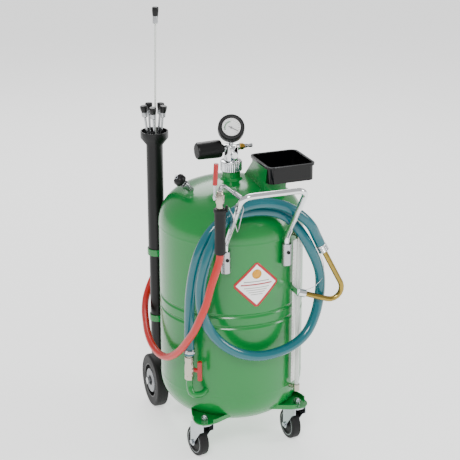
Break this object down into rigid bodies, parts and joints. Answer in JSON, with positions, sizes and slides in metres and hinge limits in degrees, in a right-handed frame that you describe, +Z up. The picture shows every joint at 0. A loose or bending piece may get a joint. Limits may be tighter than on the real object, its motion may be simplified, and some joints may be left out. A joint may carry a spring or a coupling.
{
  "type": "wheeled suction oil drainer",
  "caption": "Upright pressure tank on casters and rear wheels with a venturi head, vacuum gauge, tool tray, suction probes, hand wand and discharge hose.",
  "frame": {"origin": "on the floor under the centre of the rigid parts outline", "axes": "+Z up along the tank, -Y towards the front with the casters and the wand, +X towards the tray side"},
  "size_m": [0.4566, 0.5996, 1.1531],
  "materials": {
    "green_paint": "gloss powder coat",
    "chrome": "polished chrome plate",
    "brushed_steel": "drawn stainless tube and sheet",
    "nickel": "satin nickel plate on brass",
    "zinc": "bright zinc-plated pressing",
    "brass": "machined brass",
    "yellow_zinc": "yellow zinc-plated tube",
    "crimped_aluminium": "crimped aluminium sleeve",
    "black_rubber": "moulded rubber",
    "tyre": "solid rubber tyre",
    "black_plastic": "moulded nylon",
    "gloss_black": "glossy vacuum-formed sheet",
    "gauge_case": "white printed dial in a pressed case",
    "red_grip": "dipped vinyl",
    "wand_lever": "dipped vinyl on a steel lever",
    "wand_spout": "braided steel and chrome",
    "sight_tube": "translucent nylon",
    "probe_long": "translucent nylon tube",
    "teal_hose": "translucent PVC",
    "red_hose": "smooth rubber hose"
  },
  "bodies": {
    "frame": {"tank_shell": "green_paint", "tray_bracket": "green_paint", "holder_clamp_upper": "green_paint", "holder_clamp_lower": "green_paint", "drain_pipe": "green_paint", "axle_carrier": "green_paint", "caster_bracket_left": "green_paint", "caster_bracket_right": "green_paint", "neck_ring_nut": "chrome", "venturi_body": "chrome", "handle_tube": "chrome", "nozzle_cup": "chrome", "handle_socket_left": "brushed_steel", "handle_socket_right": "brushed_steel", "wire_hook": "brushed_steel", "air_nipple": "brushed_steel", "relief_body": "brushed_steel", "rear_axle": "brushed_steel", "sight_fitting_lower": "nickel", "sight_fitting_upper": "nickel", "drain_valve_body": "nickel", "drain_hose_collar": "nickel", "suction_inlet": "nickel", "wand_valve_body": "nickel", "caster_bolt_left": "zinc", "caster_bolt_right": "zinc", "inlet_fitting": "brass", "nozzle_tube": "yellow_zinc", "hose_ferrule": "crimped_aluminium", "gauge_boot": "black_rubber", "wand_grip": "black_rubber", "probe_holder_upper": "black_plastic", "probe_holder_lower": "black_plastic", "silencer": "black_plastic", "tray": "gloss_black", "gauge_case": "gauge_case", "wand_spout": "wand_spout", "sight_tube": "sight_tube", "discharge_hose": "teal_hose", "suction_hose": "red_hose"},
    "caster_swivel_left": {"caster_fork_left": "zinc", "caster_axle_left": "zinc"},
    "caster_swivel_right": {"caster_fork_right": "zinc", "caster_axle_right": "zinc"},
    "caster_roller_left": {"caster_wheel_left": "tyre"},
    "caster_roller_right": {"caster_wheel_right": "tyre"},
    "rear_wheel_left": {"rear_tyre_left": "tyre", "rear_rim_left": "black_plastic"},
    "rear_wheel_right": {"rear_tyre_right": "tyre", "rear_rim_right": "black_plastic"},
    "moving_drain_handle": {"drain_handle": "red_grip"},
    "moving_wand_lever": {"wand_lever": "wand_lever"},
    "moving_gauge_needle": {"gauge_needle": "black_plastic"},
    "moving_relief_cap": {"relief_cap": "black_plastic"},
    "moving_probe_short_1": {"probe_short_1": "brushed_steel"},
    "moving_probe_short_2": {"probe_short_2": "brushed_steel"},
    "moving_probe_short_3": {"probe_short_3": "brushed_steel"},
    "moving_probe_short_4": {"probe_short_4": "brushed_steel"},
    "moving_probe_short_5": {"probe_short_5": "brushed_steel"},
    "moving_probe_long": {"probe_long": "probe_long"}
  },
  "joints": [
    {"name": "caster_turn_left", "type": "hinge", "parent": "frame", "child": "caster_swivel_left", "pos_m": [-0.12943, -0.13021, 0.1], "axis": [0, 0, 1], "continuous": true},
    {"name": "caster_turn_right", "type": "hinge", "parent": "frame", "child": "caster_swivel_right", "pos_m": [0.13457, -0.13021, 0.1], "axis": [0, 0, 1], "continuous": true},
    {"name": "caster_roll_left", "type": "hinge", "parent": "caster_swivel_left", "child": "caster_roller_left", "pos_m": [-0.13568, -0.09476, 0.041], "axis": [0.9848, 0.1736, 0], "continuous": true},
    {"name": "caster_roll_right", "type": "hinge", "parent": "caster_swivel_right", "child": "caster_roller_right", "pos_m": [0.13143, -0.09435, 0.041], "axis": [0.9962, 0.0872, 0], "continuous": true},
    {"name": "rear_roll_left", "type": "hinge", "parent": "frame", "child": "rear_wheel_left", "pos_m": [-0.14843, 0.22479, 0.075], "axis": [1, 0, 0], "continuous": true},
    {"name": "rear_roll_right", "type": "hinge", "parent": "frame", "child": "rear_wheel_right", "pos_m": [0.15357, 0.22479, 0.075], "axis": [1, 0, 0], "continuous": true},
    {"name": "drain_valve", "type": "hinge", "parent": "frame", "child": "moving_drain_handle", "pos_m": [-0.16826, -0.12455, 0.27], "axis": [0.6428, -0.766, 0], "range_deg": [0, 90]},
    {"name": "wand_trigger", "type": "hinge", "parent": "frame", "child": "moving_wand_lever", "pos_m": [-0.14143, -0.24321, 0.77], "axis": [1, 0, 0], "range_deg": [0, 90]},
    {"name": "gauge_pointer", "type": "hinge", "parent": "frame", "child": "moving_gauge_needle", "pos_m": [0.00257, 0.01879, 0.85604], "axis": [-0.2592, -0.7976, 0.5446], "range_deg": [-17, 253]},
    {"name": "relief_lift", "type": "slide", "parent": "frame", "child": "moving_relief_cap", "axis": [-0.7067, 0.0247, 0.7071], "range_m": [0, 0.003]},
    {"name": "probe_1_lift", "type": "slide", "parent": "frame", "child": "moving_probe_short_1", "axis": [-0.1055, 0.0409, 0.9936], "range_m": [0, 0.3]},
    {"name": "probe_2_lift", "type": "slide", "parent": "frame", "child": "moving_probe_short_2", "axis": [-0.0715, -0.0877, 0.9936], "range_m": [0, 0.3]},
    {"name": "probe_3_lift", "type": "slide", "parent": "frame", "child": "moving_probe_short_3", "axis": [0.0613, -0.0952, 0.9936], "range_m": [0, 0.3]},
    {"name": "probe_4_lift", "type": "slide", "parent": "frame", "child": "moving_probe_short_4", "axis": [0.1094, 0.0289, 0.9936], "range_m": [0, 0.3]},
    {"name": "probe_5_lift", "type": "slide", "parent": "frame", "child": "moving_probe_short_5", "axis": [0.0063, 0.113, 0.9936], "range_m": [0, 0.3]},
    {"name": "probe_long_lift", "type": "slide", "parent": "frame", "child": "moving_probe_long", "axis": [0.0192, 0, 0.9998], "range_m": [0, 0.62]}
  ]
}
